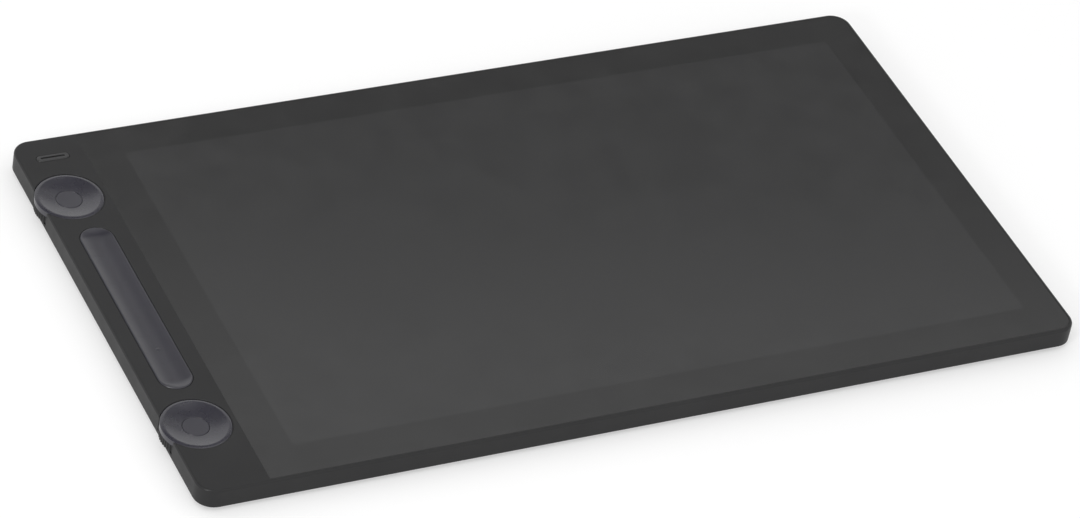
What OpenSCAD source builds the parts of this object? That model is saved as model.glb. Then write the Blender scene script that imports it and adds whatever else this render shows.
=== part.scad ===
// Drawing tablet with a screen: a flat body with two dials set through the left wall,
// a sunk row of keys between them and a small power button at the back.
// Sizes are in millimetres. The desk is z = 0, the screen faces +Z and the user sits at -Y.

/* [Body] */
// Width of the active picture area
screen_w = 349.6; // [300:0.1:420]
// Depth of the active picture area
screen_d = 196.6; // [190:0.1:260]
// Border from the picture to the right, front and back edges
bezel = 18.4; // [17.5:0.1:26]
// From the left edge of the body to the picture
control_w = 47.5; // [46:0.1:60]
// Width of the control deck, from the left edge to the glass
deck_w = 30.5; // [30:0.1:31.5]
// Corner radius in plan
corner_r = 8.5; // [6:0.1:12]
// Height of the side wall
wall_h = 9; // [8.8:0.1:12]
// Thickness of the side wall
wall_t = 2.2; // [1.8:0.1:2.8]
// Rounding along the top edge
edge_r = 1.1; // [0.5:0.1:1.4]
// Thickness of the control deck
deck_t = 2.1; // [1.9:0.1:2.4]
// Bevel along the edges of the openings in the deck
slot_break = 0.15; // [0.1:0.05:0.5]
// Thickness of the ledge under the glass
ledge_t = 1.5; // [1:0.1:2]

/* [Rear cover] */
// Thickness of the rear cover
cover_t = 1.6; // [1.4:0.1:2.4]
// How far the sloped edge of the cover runs in
cover_slope = 3.5; // [1:0.1:5]
// Height of the locating lip inside the wall
lip_h = 1.2; // [0.6:0.1:1.6]
// Thickness of the locating lip
lip_t = 1; // [0.8:0.1:1.2]
// Height of the stiffening ribs on the inner face
rib_h = 0.4; // [0.2:0.1:0.5]
// Width of the stiffening ribs
rib_w = 1.2; // [0.8:0.1:3]
// Number of ribs across the width
cross_ribs = 7; // [3:1:12]
// Height that the feet hold the cover off the desk
foot_h = 1.2; // [0.6:0.1:4]
// How deep the feet are set into the cover
foot_sunk = 0.6; // [0.3:0.1:0.8]
// Length of a foot strip
foot_l = 320; // [100:1:360]
// Width of a foot strip
foot_w = 10; // [5:0.5:16]
// From the front or back edge to the middle of a foot strip
foot_in = 17; // [16:0.5:40]

/* [Display] */
// Border between the edge of the body and the glass
rim_w = 1.6; // [1.5:0.1:2.1]
// Thickness of the cover glass
glass_t = 1.1; // [0.7:0.1:1.2]
// Bevel along the top edge of the glass
glass_break = 0.1; // [0.05:0.01:0.3]
// Small corner radius of the glass beside the deck
glass_corner = 1; // [0.5:0.1:3]
// Thickness of the adhesive tape under the glass
tape_t = 0.3; // [0.1:0.05:0.4]
// Border of the display panel outside the picture
panel_margin = 3; // [2:0.1:3.4]
// Thickness of the display panel
panel_t = 1.2; // [1:0.1:1.3]
// Thickness of the backlight tray
tray_t = 1.9; // [1.4:0.1:2]
// Wall of the backlight tray
tray_wall = 0.6; // [0.3:0.1:1]
// Floor of the backlight tray
tray_floor = 0.3; // [0.2:0.05:0.5]
// Depth of the light bar along the front of the tray
bar_d = 2; // [1:0.1:4]
// Thickness of the pen digitizer board
digitizer_t = 0.8; // [0.5:0.1:0.9]
// Thickness of the shield plate
shield_t = 0.3; // [0.1:0.05:0.4]
// Thickness of the metal mid plate
plate_t = 0.6; // [0.4:0.1:0.7]

/* [Dials] */
// Diameter of a dial
dial_d = 30.4; // [29:0.1:30.6]
// How far a dial stands out through the left wall
dial_overhang = 1.9; // [1.5:0.1:3.5]
// Gap between an end of the key row and the dial beside it
dial_gap = 6.8; // [6.8:0.1:13]
// Height of the crest of the dial rim above the deck
dial_rise = 0.15; // [0:0.05:0.6]
// Height of the smooth band under the rim
dial_band_h = 3; // [2.4:0.1:3.3]
// Width of the dial rim, from its crest outwards
dial_rim_w = 1.7; // [1.2:0.1:2.2]
// Radius with which the rim rolls down from its crest to the edge
dial_rim_r = 3.6; // [2.8:0.1:5]
// Depth of the dish at the dial axis
dish_depth = 2.2; // [1.6:0.1:2.5]
// Number of ribs on the grip ring
grip_ribs = 60; // [24:1:90]
// Depth of the ribs on the grip ring
grip_depth = 0.45; // [0.2:0.05:0.7]
// Thickness of the dial's inner skirt
skirt_t = 1.2; // [1.1:0.1:1.4]
// Thickness of the grip ring
grip_t = 1.3; // [1.1:0.1:1.5]
// Number of click notches inside the skirt
dial_clicks = 30; // [12:1:40]
// Radius of a click notch
click_r = 0.5; // [0.3:0.05:0.6]
// Diameter of the fixed spindle that a dial turns on
spindle_d = 10; // [9.4:0.1:10.4]
// Bore of the spindle, where the button stem slides
spindle_bore = 7.2; // [6.8:0.1:7.6]
// Thickness of the spindle base
base_t = 0.9; // [0.6:0.1:1.1]
// Diameter of the round button in the middle of a dial
button_d = 11.4; // [11.2:0.1:12.4]
// Travel of the round button
button_travel = 0.4; // [0.2:0.05:0.45]
// Height that the round button stands above the dish
button_rise = 0.1; // [0:0.05:0.4]
// Outer diameter of the ring magnet
magnet_d = 21; // [18:0.1:21.4]
// Inner diameter of the ring magnet
magnet_bore = 16; // [14:0.1:17]
// Height of the ring magnet
magnet_h = 2.2; // [1:0.1:2.6]

/* [Keys] */
// Number of keys in the row
key_count = 6; // [4:1:8]
// Width of the key row
strip_w = 15.6; // [13:0.1:16.4]
// Length of the key row
strip_l = 107.6; // [90:0.1:118]
// From the left edge to the middle of the key row
strip_in = 15.3; // [14:0.1:15.8]
// Height of the key edges above the deck
key_rise = 0.3; // [0:0.05:0.5]
// Rounding along the outer edge of the key row
key_lip_r = 0.8; // [0.3:0.05:1]
// Depth of the scoop in the key tops
key_dish = 1.7; // [1:0.1:2.2]
// Travel of a key
key_travel = 0.5; // [0.2:0.05:0.6]
// Width of the flange that holds a key under the deck
key_flange = 1; // [0.6:0.1:1.2]
// Thickness of the flange
flange_t = 1.2; // [0.8:0.1:1.3]
// Which key carries the tactile nub
nub_key = 5; // [1:1:6]
// Diameter of the tactile nub
nub_d = 2.4; // [1.2:0.1:4]
// Height of the tactile nub
nub_h = 0.35; // [0.1:0.05:0.6]
// Diameter of the key guide pins
pin_d = 2.2; // [1.4:0.1:3]
// From the middle of a key to each guide pin, along the row
pin_reach = 5.6; // [5.4:0.1:5.8]
// Thickness of the key guide plate
guide_t = 1; // [0.6:0.1:1.2]

/* [Power button] */
// Length of the power button
power_l = 15.2; // [13:0.1:16]
// Width of the power button
power_w = 4.2; // [3.4:0.1:5]
// From the left edge to the middle of the power button
power_in = 15.6; // [13:0.1:18]
// From the back edge to the middle of the power button
power_back = 13.6; // [13:0.1:15]
// Rounding along the top edge of the power button
power_round = 0.5; // [0.2:0.05:0.8]
// Height of the power button above the deck
power_rise = 0.2; // [0:0.05:0.6]
// Travel of the power button
power_travel = 0.4; // [0.2:0.05:0.5]
// Length of the light window
slit_l = 11.2; // [6:0.1:11.6]
// Width of the light window
slit_w = 1.1; // [0.6:0.1:1.6]

/* [Sockets and boards] */
// From the back edge to the first socket
port_back = 45; // [40:0.5:60]
// Distance between the two sockets
port_pitch = 18; // [15:0.5:26]
// Outer width of a socket shell
port_w = 8.94; // [8.5:0.01:9.5]
// Outer height of a socket shell
port_h = 3.16; // [2.9:0.01:3.4]
// Length of a socket shell
port_l = 7.3; // [6.5:0.1:9]
// Sheet thickness of a socket shell
port_t = 0.3; // [0.2:0.05:0.4]
// Depth of the recess round a socket in the wall
port_recess = 0.8; // [0.4:0.1:1.2]
// Border of that recess round the socket
port_border = 1.2; // [0.8:0.1:1.25]
// Thickness of the circuit boards
board_t = 1; // [0.8:0.1:1.2]
// Height of the pads under the boards
standoff_h = 0.6; // [0.5:0.1:0.8]
// Width of the main board
main_w = 70; // [66:1:90]
// Depth of the main board
main_d = 60; // [58:1:70]
// Width of the flat cables
flex_w = 10; // [6:0.5:12]
// Thickness of the flat cables
flex_t = 0.25; // [0.1:0.05:0.3]

/* [Fasteners] */
// Diameter of the cover screws
screw_d = 2.4; // [2:0.1:2.6]
// Head diameter of the cover screws
screw_head_d = 4.4; // [4:0.1:5]
// Head height of the cover screws
screw_head_h = 0.8; // [0.5:0.1:1]
// Length of the cover screws under the head
screw_l = 5; // [3.5:0.1:5.6]
// Diameter of the screw bosses for the cover
boss_d = 5.5; // [5:0.1:6]
// Diameter of the small inner screws
small_d = 1.4; // [1.2:0.1:1.6]
// Head diameter of the small inner screws
small_head_d = 3.2; // [2.6:0.1:3.6]
// Head height of the small inner screws
small_head_h = 0.7; // [0.4:0.1:0.9]
// Diameter of the small inner bosses
small_boss_d = 3.6; // [3.4:0.1:4]

/* [Clearances] */
// Gap round the keys and buttons where they come through
key_gap = 0.12; // [0.08:0.01:0.2]
// Gap of loose fits inside
fit_gap = 0.2; // [0.1:0.05:0.3]
// Gap round the glass and other fixed pieces
seat_gap = 0.1; // [0.08:0.01:0.2]
// Running gap of a dial hub on its spindle
run_gap = 0.05; // [0.02:0.01:0.1]
// Gap between a dial and its pocket
pocket_gap = 0.3; // [0.2:0.05:0.5]
// Gap under a turning dial
turn_gap = 0.5; // [0.3:0.05:0.7]
// Gap left at the end of a press
stop_gap = 0.1; // [0.05:0.05:0.2]
// Gap between inner pieces that stand side by side
inner_gap = 0.45; // [0.3:0.05:0.6]

/* [Hidden] */
$fn = 72;
fine_fn = 180;
eps = 0.01;
past = 1;

body_w = control_w + screen_w + bezel;
body_d = screen_d + 2 * bezel;
right_x = (body_w + dial_overhang) / 2;
left_x = right_x - body_w;
mid_x = (left_x + right_x) / 2;
back_y = body_d / 2;

// Heights, from the desk up
floor_z = foot_h + cover_t;
top_z = floor_z + wall_h;
deck_z = top_z - deck_t;
glass_z = top_z - glass_t;
ledge_top = glass_z - tape_t;
ledge_z = ledge_top - ledge_t;
panel_z = glass_z - panel_t;
tray_z = panel_z - tray_t;
digitizer_z = tray_z - digitizer_t;
shield_z = digitizer_z - shield_t;
plate_z = shield_z - plate_t;
flex_z = plate_z - flex_t;
board_z = floor_z + standoff_h;
board_top = board_z + board_t;

// Display stack in plan
glass_x = left_x + deck_w;
glass_end = right_x - rim_w;
glass_d = body_d - 2 * rim_w;
screen_x = left_x + control_w + screen_w / 2;
panel_w = screen_w + 2 * panel_margin;
panel_d = screen_d + 2 * panel_margin;
window_gap = 2;
window_w = panel_w + 2 * window_gap;
window_d = panel_d + 2 * window_gap;
panel_corner = 1;

// Screw bosses in plan
boss_gap = 0.25;
boss_in = wall_t + boss_gap + boss_d / 2;
boss_rows = 4;
boss_step = (body_w - 2 * boss_in) / (boss_rows - 1);
cover_bosses = concat(
    [for (side = [-1, 1], i = [0 : boss_rows - 1])
        [left_x + boss_in + i * boss_step, side * (back_y - boss_in)]],
    [[right_x - boss_in, 0], [glass_x + boss_d / 2 + inner_gap, 0]]);
plate_in = boss_in + boss_d / 2 + inner_gap;
plate_left = glass_x + boss_d + 2 * inner_gap;
plate_right = right_x - plate_in;
plate_d = body_d - 2 * plate_in;
plate_step = (plate_right - plate_left - small_boss_d) / (boss_rows - 1);
plate_bosses = [for (side = [-1, 1], i = [0 : boss_rows - 1])
    [plate_left + small_boss_d / 2 + i * plate_step, side * (plate_d - small_boss_d) / 2]];
head_room = 0.2;
drive_l = 0.62;
drive_w = 0.16;
counterbore = screw_head_h + head_room / 2;

// Keys
key_edge_z = top_z + key_rise;
key_low_z = key_edge_z - key_dish;
flange_top = deck_z - fit_gap;
key_base = flange_top - flange_t;
guide_top = key_base - key_travel - stop_gap;
guide_z = guide_top - guide_t;
plunger_drop = 0.3;
switch_top = guide_top - plunger_drop;
strip_x = left_x + strip_in;
key_pitch = strip_l / key_count;
key_half = strip_w / 2 - key_gap;
crest_share = 0.7;
scoop_half = key_half - crest_share * key_lip_r;
scoop_r = (pow(scoop_half, 2) + pow(key_dish, 2)) / (2 * key_dish);
switch_w = 6.2;
switch_share = 0.75;
stem_d = 3;
flange_r = strip_w / 2 + key_flange;
guide_end = strip_l / 2 + key_flange + fit_gap + small_boss_d / 2;
guide_side = strip_x + flange_r + fit_gap + small_boss_d / 2;
guide_bosses = concat(
    [for (side = [-1, 1]) [strip_x, side * guide_end]],
    [for (side = [-1, 1]) [guide_side, side * strip_l / 4]]);
guide_left = strip_x - flange_r - inner_gap;
guide_right = guide_side + small_boss_d / 2;
guide_d = 2 * guide_end + small_boss_d;

// Dials
dial_r = dial_d / 2;
dial_x = left_x + dial_r - dial_overhang;
dial_y = strip_l / 2 + dial_gap + dial_r;
dial_base = board_top + turn_gap;
dial_top = top_z + dial_rise;
band_z = dial_top - dial_band_h;
dish_rim = dial_r - dial_rim_w;
rim_drop = dial_rim_r - sqrt(pow(dial_rim_r, 2) - pow(dial_rim_w, 2));
dish_r = (pow(dish_rim, 2) + pow(dish_depth, 2)) / (2 * dish_depth);
dish_centre = dial_top - dish_depth + dish_r;
hole_r = button_d / 2 + key_gap;
dish_edge = dish_centre - sqrt(pow(dish_r, 2) - pow(hole_r, 2));
cap_t = 1.7;
cap_under = dish_edge - cap_t;
skirt_r = dial_r - grip_t;
skirt_in = skirt_r - skirt_t;
hub_wall = 1.75;
hub_r = spindle_d / 2 + run_gap + hub_wall;
hub_base = board_top + base_t + turn_gap / 2;
hub_drop = 0.4;
hub_top = cap_under - hub_drop;
clip_t = 0.6;
clip_z = hub_top + run_gap;
clip_groove = 0.6;
clip_open = 0.7;
clip_lip = 0.15;
spindle_top = clip_z + clip_t + clip_lip;
button_top = dish_edge + button_rise;
button_under = spindle_top + button_travel + stop_gap;
button_round = 0.3;
press_h = 3;
press_top = board_top + press_h;
stem_end = press_top + button_travel + stop_gap;
pocket_r = dial_r + pocket_gap;
pocket_z = dial_base - turn_gap - stop_gap;
well_t = 1.2;
click_h = 2.4;
leaf_t = 0.3;
leaf_h = 1.4;
leaf_in = 0.85;
leaf_r = skirt_in - leaf_in;
nose_r = 0.4;
leaf_sweep = 110;
peg_r = 0.8;
peg_out = 1;
peg_ring = spindle_d / 2 + peg_out;
base_border = 1.3;
spindle_base_r = peg_ring + base_border;

// Power button
power_x = left_x + power_in;
power_y = back_y - power_back;
power_top = top_z + power_rise;
power_switch_x = power_x - power_l / 4;
power_led_x = power_x + power_l / 4;

// Main board, sockets and flat cables
port_y = [back_y - port_back, back_y - port_back - port_pitch];
port_x = right_x - port_recess;
port_z = board_top + port_h / 2;
main_right = right_x - wall_t - lip_t - 2 * seat_gap - inner_gap;
main_left = main_right - main_w;
main_y = (port_y[0] + port_y[1]) / 2;
connector_l = 5;
connector_ends = 1.5;
key_board_left = left_x + wall_t + lip_t + 2 * seat_gap + inner_gap;
key_board_in = 1.5;
key_board_right = glass_x - key_board_in;
key_board_back = back_y - boss_in - boss_d / 2 - inner_gap;
key_board_past = 8;
key_board_front = -dial_y - pocket_r - key_board_past;
key_flex_y = main_y - main_d / 2 + connector_l + flex_w / 2 + connector_ends;
key_connector_x = key_board_right - connector_l;
main_connector_in = 12;
main_connector_x = main_left + main_connector_in;
display_flex_w = 24;
display_flex_in = 25;
display_flex_x = main_right - display_flex_in;
display_connector_in = 6;
display_connector_y = main_y + main_d / 2 - display_connector_in;
digitizer_in = 15;
digitizer_x = main_left + digitizer_in;
digitizer_link_w = 14;
digitizer_link_d = 6;
can_w = 34;
can_d = 24;
can_wall = 0.2;
can_side = 20;
can_front = 16;
screw_pad_in = 3.5;
pad_past = 5;
main_pads = [for (sx = [0, 1], sy = [-1, 1])
    [sx ? main_right - screw_pad_in : main_left + screw_pad_in, main_y + sy * (main_d / 2 - screw_pad_in)]];
pad_r = 2.4;
key_pad_in = key_flex_y + flex_w / 2 + connector_ends + inner_gap + pad_r;
key_pad_out = dial_y + pocket_r + pad_past;
key_pads = [for (side = [-1, 1], y = [key_pad_in, key_pad_out])
    [key_board_right - screw_pad_in, side * y]];
pad_screw_l = board_t + standoff_h + cover_t / 2;

// Outline helpers

// Rectangle with round corners, centred on the origin
module round_rect(w, d, r) {
    square([w - 2 * r, d], center = true);
    square([w, d - 2 * r], center = true);
    for (sx = [-1, 1], sy = [-1, 1])
        translate([sx * (w / 2 - r), sy * (d / 2 - r)]) circle(r);
}

// Oblong with full round ends, long along X
module oblong(l, w) {
    square([l - w, w], center = true);
    for (sx = [-1, 1]) translate([sx * (l - w) / 2, 0]) circle(w / 2);
}

// Outline of the body, drawn in by a given amount
module body_outline(inset) {
    translate([mid_x, 0]) round_rect(body_w - 2 * inset, body_d - 2 * inset, corner_r - inset);
}

// Outline of the glass, grown by a given amount: small corners by the deck, large ones on the right
module glass_outline(grow) {
    big = corner_r - rim_w + grow;
    half = glass_d / 2 + grow;
    x0 = glass_x - grow;
    x1 = glass_end + grow;
    translate([x0 + glass_corner, -half]) square([x1 - big - x0 - glass_corner, 2 * half]);
    translate([x0, glass_corner - half]) square([2 * glass_corner, 2 * (half - glass_corner)]);
    translate([x1 - 2 * big, big - half]) square([2 * big, 2 * (half - big)]);
    for (sy = [-1, 1]) {
        translate([x0 + glass_corner, sy * (half - glass_corner)]) circle(glass_corner);
        translate([x1 - big, sy * (half - big)]) circle(big);
    }
}

// Carries a profile round the body outline: profile x is outward from the wall, profile y is up
module around_body() {
    for (turn = [0 : 3]) {
        across = turn % 2 == 0 ? body_w : body_d;
        along = turn % 2 == 0 ? body_d : body_w;
        translate([mid_x, 0, 0]) rotate(90 * turn) {
            translate([across / 2, along / 2 - corner_r, 0]) rotate([90, 0, 0])
                linear_extrude(along - 2 * corner_r) children();
            translate([across / 2 - corner_r, along / 2 - corner_r, 0])
                rotate_extrude(angle = 90) translate([corner_r, 0]) children();
        }
    }
}

// Carries a profile round the glass outline: profile x is outward from the edge, profile y is up
module around_glass() {
    big = corner_r - rim_w;
    small = glass_corner;
    half = glass_d / 2;
    side_run = glass_end - big - glass_x - small;
    ends = [[glass_end, half - big], [glass_x + small, half],
        [glass_x, small - half], [glass_end - big, -half]];
    runs = [2 * (half - big), side_run, 2 * (half - small), side_run];
    centres = [[glass_end - big, half - big], [glass_x + small, half - small],
        [glass_x + small, small - half], [glass_end - big, big - half]];
    radii = [big, small, small, big];
    for (turn = [0 : 3]) {
        translate(ends[turn]) rotate([90, 0, 90 * turn]) linear_extrude(runs[turn]) children();
        translate(centres[turn]) rotate(90 * turn)
            rotate_extrude(angle = 90) translate([radii[turn], 0]) children();
    }
}

// Carries a profile round an oblong with the given straight part along X: profile x is from its middle
module around_oblong(straight) {
    for (turn = [0, 180]) rotate(turn) translate([straight / 2, 0, 0]) {
        rotate(-90) rotate_extrude(angle = 180) children();
        rotate([90, 0, -90]) linear_extrude(straight) children();
    }
}

// Slab from z to z + h
module slab(z, h) {
    translate([0, 0, z]) linear_extrude(h) children();
}

// Round post or hole from z to z + h
module post(at, z, h, d) {
    translate([at[0], at[1], z]) cylinder(h = h, d = d);
}

// Cross recess, sunk evenly above and below z
module cross_recess(at, z, head_d, head_h) {
    for (turn = [0, 90]) translate([at[0], at[1], z]) rotate(turn)
        cube([drive_l * head_d, drive_w * head_d, head_h], center = true);
}

// Screw pointing up from under its seat, with its head below z
module screw_up(at, z, d, l, head_d, head_h) {
    post(at, z - eps, l + eps, d);
    difference() {
        post(at, z - head_h, head_h, head_d);
        cross_recess(at, z - head_h, head_d, head_h);
    }
}

// Screw pointing down through a board, with its head above z
module screw_down(at, z, d, l, head_d, head_h) {
    post(at, z - l, l + eps, d);
    difference() {
        post(at, z, head_h, head_d);
        cross_recess(at, z + head_h, head_d, head_h);
    }
}

// Tactile switch on a board: square base and round plunger
module tact_switch(at, w, d, h) {
    base_h = h * switch_share;
    translate([at[0] - w / 2, at[1] - w / 2, board_top]) cube([w, w, base_h]);
    post(at, board_top, h, d);
}

// Body pieces

// Negative of the rounding along the top edge
module top_edge_profile() {
    difference() {
        translate([-edge_r, top_z - edge_r]) square(edge_r + past);
        translate([-edge_r, top_z - edge_r]) circle(edge_r);
    }
}

// Negative of the bevel along the edge of an opening, with profile x from the middle of the opening
module slot_edge_profile(half) {
    polygon([[half - past, top_z - slot_break - past], [half + slot_break + past, top_z + past],
        [half - past, top_z + past]]);
}

// One moulding: side wall, control deck, glass ledge, screw bosses and dial wells
module upper_housing() {
    color("#3c3c3d") difference() {
        union() {
            difference() {
                slab(floor_z, wall_h) body_outline(0);
                around_body() top_edge_profile();
                slab(floor_z - past, ledge_z - floor_z + past) body_outline(wall_t);
                deck_cavity();
                slab(ledge_top, past + glass_t + tape_t) glass_outline(seat_gap);
                slab(ledge_z - past, ledge_t + 2 * past)
                    translate([screen_x, 0]) round_rect(window_w, window_d, panel_corner);
            }
            housing_bosses();
        }
        dial_pockets();
        translate([strip_x, 0, 0]) rotate(90) deck_slot(strip_l, strip_w);
        translate([power_x, power_y, 0]) deck_slot(power_l, power_w);
        for (at = cover_bosses) post(at, floor_z - past, screw_l + past, screw_d + run_gap);
        for (at = plate_bosses) post(at, plate_z, ledge_z - plate_z, small_d + run_gap);
        for (at = guide_bosses) post(at, guide_top - past, deck_z - guide_top + past, small_d + run_gap);
        for (y = port_y) port_cut(y);
    }
}

// Oblong opening through the deck, long along X, with a bevelled edge
module deck_slot(l, w) {
    slab(deck_z - past, deck_t + 2 * past) oblong(l, w);
    around_oblong(l - w) slot_edge_profile(w / 2);
}

// Hollow under the deck, up to its thin top
module deck_cavity() {
    slab(ledge_z - past, deck_z - ledge_z + past) intersection() {
        body_outline(wall_t);
        translate([left_x, -body_d / 2]) square([deck_w - wall_t, body_d]);
    }
}

// Posts for the screws and the round wells of the dials, inside the body outline
module housing_bosses() {
    intersection() {
        union() {
            for (at = cover_bosses) post(at, floor_z, deck_z - floor_z, boss_d);
            for (at = plate_bosses)
                post(at, plate_z + plate_t, ledge_z - plate_z - plate_t + eps, small_boss_d);
            for (at = guide_bosses) post(at, guide_top, deck_z - guide_top + eps, small_boss_d);
            for (side = [-1, 1])
                post([dial_x, side * dial_y], dial_base, deck_z - dial_base, 2 * (pocket_r + well_t));
        }
        slab(floor_z, deck_z - floor_z + eps) body_outline(wall_t / 2);
    }
}

// Round pockets that open through the left wall, with a bevelled edge
module dial_pockets() {
    for (side = [-1, 1]) translate([dial_x, side * dial_y, 0]) {
        post([0, 0], pocket_z, top_z - pocket_z + past, 2 * pocket_r);
        rotate_extrude() slot_edge_profile(pocket_r);
    }
}

// Cut through the right wall for a socket, with a shallow recess for the plug
module port_cut(y) {
    translate([right_x, y, port_z]) rotate([90, 0, -90]) {
        translate([0, 0, -past]) linear_extrude(port_recess + past)
            oblong(port_w + 2 * port_border, port_h + 2 * port_border);
        linear_extrude(wall_t + past) oblong(port_w + 2 * fit_gap, port_h + 2 * fit_gap);
    }
}

// Negative of the sloped edge of the rear cover
module cover_edge_profile() {
    polygon([[-cover_slope, foot_h], [0, floor_z], [past, floor_z], [past, foot_h - past],
        [-cover_slope, foot_h - past]]);
}

// Bottom shell with a locating lip, board pads and stiffening ribs
module rear_cover() {
    color("#333334") difference() {
        union() {
            difference() {
                slab(foot_h, cover_t) body_outline(0);
                around_body() cover_edge_profile();
            }
            difference() {
                slab(floor_z - eps, lip_h + eps) difference() {
                    body_outline(wall_t + seat_gap);
                    body_outline(wall_t + seat_gap + lip_t);
                }
                for (at = cover_bosses) post(at, floor_z, lip_h + past, boss_d + 2 * inner_gap);
            }
            cover_ribs();
            for (at = concat(main_pads, key_pads)) post(at, floor_z - eps, standoff_h + eps, 2 * pad_r);
            for (side = [-1, 1]) post([dial_x, side * dial_y], floor_z - eps, standoff_h + eps, spindle_d);
            translate([strip_x - stem_d / 2, -strip_l / 2, floor_z - eps])
                cube([stem_d, strip_l, standoff_h + eps]);
        }
        for (at = cover_bosses) {
            post(at, foot_h - past, cover_t + 2 * past, screw_d + 2 * fit_gap);
            post(at, foot_h - past, counterbore + past, screw_head_d + 2 * fit_gap);
        }
        for (at = concat(main_pads, key_pads))
            post(at, board_top - pad_screw_l, pad_screw_l, small_d + run_gap);
        for (side = [-1, 1])
            slab(foot_h - past, foot_sunk + past)
                translate([mid_x, side * (back_y - foot_in)])
                    oblong(foot_l + 2 * seat_gap, foot_w + 2 * seat_gap);
    }
}

// Grid of low ribs on the inner face of the cover, under the display
module cover_ribs() {
    rib_x0 = plate_left + inner_gap;
    rib_l = plate_right - rib_x0 - inner_gap;
    rib_step = rib_l / (cross_ribs + 1);
    for (i = [1 : cross_ribs])
        translate([rib_x0 + i * rib_step - rib_w / 2, -plate_d / 2, floor_z - eps])
            cube([rib_w, plate_d, rib_h + eps]);
    for (side = [-1, 0, 1])
        translate([rib_x0, side * plate_d / 4 - rib_w / 2, floor_z - eps])
            cube([rib_l, rib_w, rib_h + eps]);
}

// Two long rubber strips with rounded lower edges
module rubber_feet() {
    round_r = foot_h / 2;
    color("#1d1d1d") for (side = [-1, 1])
        translate([mid_x, side * (back_y - foot_in), 0]) difference() {
            slab(0, foot_h + foot_sunk) oblong(foot_l, foot_w);
            around_oblong(foot_l - foot_w) foot_edge_profile(round_r);
        }
}

// Negative of the rounding along the lower edge of a foot, with profile x from its middle
module foot_edge_profile(r) {
    difference() {
        translate([foot_w / 2 - r, -past]) square([r + past, r + past]);
        translate([foot_w / 2 - r, r]) circle(r);
    }
}

// Screws that hold the rear cover
module cover_screws() {
    color("#2a2a2c") for (at = cover_bosses)
        screw_up(at, foot_h + counterbore, screw_d, screw_l, screw_head_d, screw_head_h);
}

// Display pieces

// Negative of the bevel along the top edge of the glass
module glass_edge_profile() {
    polygon([[-2 * glass_break, top_z + glass_break], [glass_break, top_z - 2 * glass_break],
        [glass_break, top_z + glass_break]]);
}

// Cover glass, flush with the deck
module front_glass() {
    color("#404042") difference() {
        slab(glass_z, glass_t) glass_outline(0);
        around_glass() glass_edge_profile();
    }
}

// Adhesive frame between the glass and the ledge
module glass_tape() {
    tape_in = 0.8;
    color("#202020") slab(ledge_top, tape_t) difference() {
        glass_outline(-tape_in);
        translate([screen_x, 0]) round_rect(window_w + tape_in, window_d + tape_in, panel_corner);
    }
}

// Plain layer of the display stack
module stack_layer(z, t) {
    slab(z, t) translate([screen_x, 0]) round_rect(panel_w, panel_d, panel_corner);
}

// Liquid crystal panel bonded to the glass
module display_panel() {
    color("#2c2e33") stack_layer(panel_z, panel_t);
}

// Metal tray that holds the light guide
module backlight_tray() {
    color("silver") difference() {
        stack_layer(tray_z, tray_t);
        translate([screen_x, 0, tray_z + tray_floor]) linear_extrude(tray_t)
            square([panel_w - 2 * tray_wall, panel_d - 2 * tray_wall], center = true);
    }
}

// Clear plate that spreads the light
module light_guide() {
    guide_w = panel_w - 2 * tray_wall - 2 * seat_gap;
    depth = panel_d - 2 * tray_wall - 3 * seat_gap - bar_d;
    y0 = -panel_d / 2 + tray_wall + 2 * seat_gap + bar_d;
    color("#e8eef0") translate([screen_x - guide_w / 2, y0, tray_z + tray_floor])
        cube([guide_w, depth, tray_t - tray_floor]);
}

// Row of light sources along the front of the tray
module light_bar() {
    bar_w = panel_w - 2 * tray_wall - 2 * seat_gap;
    y0 = -panel_d / 2 + tray_wall + seat_gap;
    color("#f4f1da") translate([screen_x - bar_w / 2, y0, tray_z + tray_floor])
        cube([bar_w, bar_d, tray_t - tray_floor]);
}

// Window for the digitizer connector
module digitizer_window(z, h) {
    w = digitizer_link_w + 2 * inner_gap;
    d = digitizer_link_d + 2 * inner_gap;
    translate([digitizer_x - w / 2, display_connector_y - d / 2, z]) cube([w, d, h]);
}

// Board with the pen antenna grid
module digitizer_board() {
    color("#1f4d2e") stack_layer(digitizer_z, digitizer_t);
}

// Thin shield behind the digitizer
module shield_plate() {
    color("#8a8c90") difference() {
        stack_layer(shield_z, shield_t);
        digitizer_window(shield_z - past, shield_t + 2 * past);
    }
}

// Metal plate that carries the display stack, screwed to the housing
module mid_plate() {
    slot_y = panel_d / 2 + inner_gap;
    color("#a5a7aa") difference() {
        translate([plate_left, -plate_d / 2, plate_z]) cube([plate_right - plate_left, plate_d, plate_t]);
        digitizer_window(plate_z - past, plate_t + 2 * past);
        translate([display_flex_x - display_flex_w / 2 - inner_gap, slot_y, plate_z - past])
            cube([display_flex_w + 2 * inner_gap, window_gap - inner_gap, plate_t + 2 * past]);
        for (y = port_y)
            translate([port_x - port_l - inner_gap, y - port_w / 2 - inner_gap, plate_z - past])
                cube([port_l, port_w + 2 * inner_gap, plate_t + 2 * past]);
        for (at = plate_bosses) post(at, plate_z - past, plate_t + 2 * past, small_d + 2 * fit_gap);
    }
}

// Screws that hold the mid plate
module plate_screws() {
    color("#77787b") for (at = plate_bosses)
        screw_up(at, plate_z, small_d, ledge_z - plate_z - stop_gap, small_head_d, small_head_h);
}

// Boards and connectors

// Main board behind the sockets
module main_board() {
    color("#1b4a33") difference() {
        translate([main_left, main_y - main_d / 2, board_z]) cube([main_w, main_d, board_t]);
        for (at = main_pads) post(at, board_z - past, board_t + 2 * past, small_d + 2 * fit_gap);
    }
}

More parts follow.
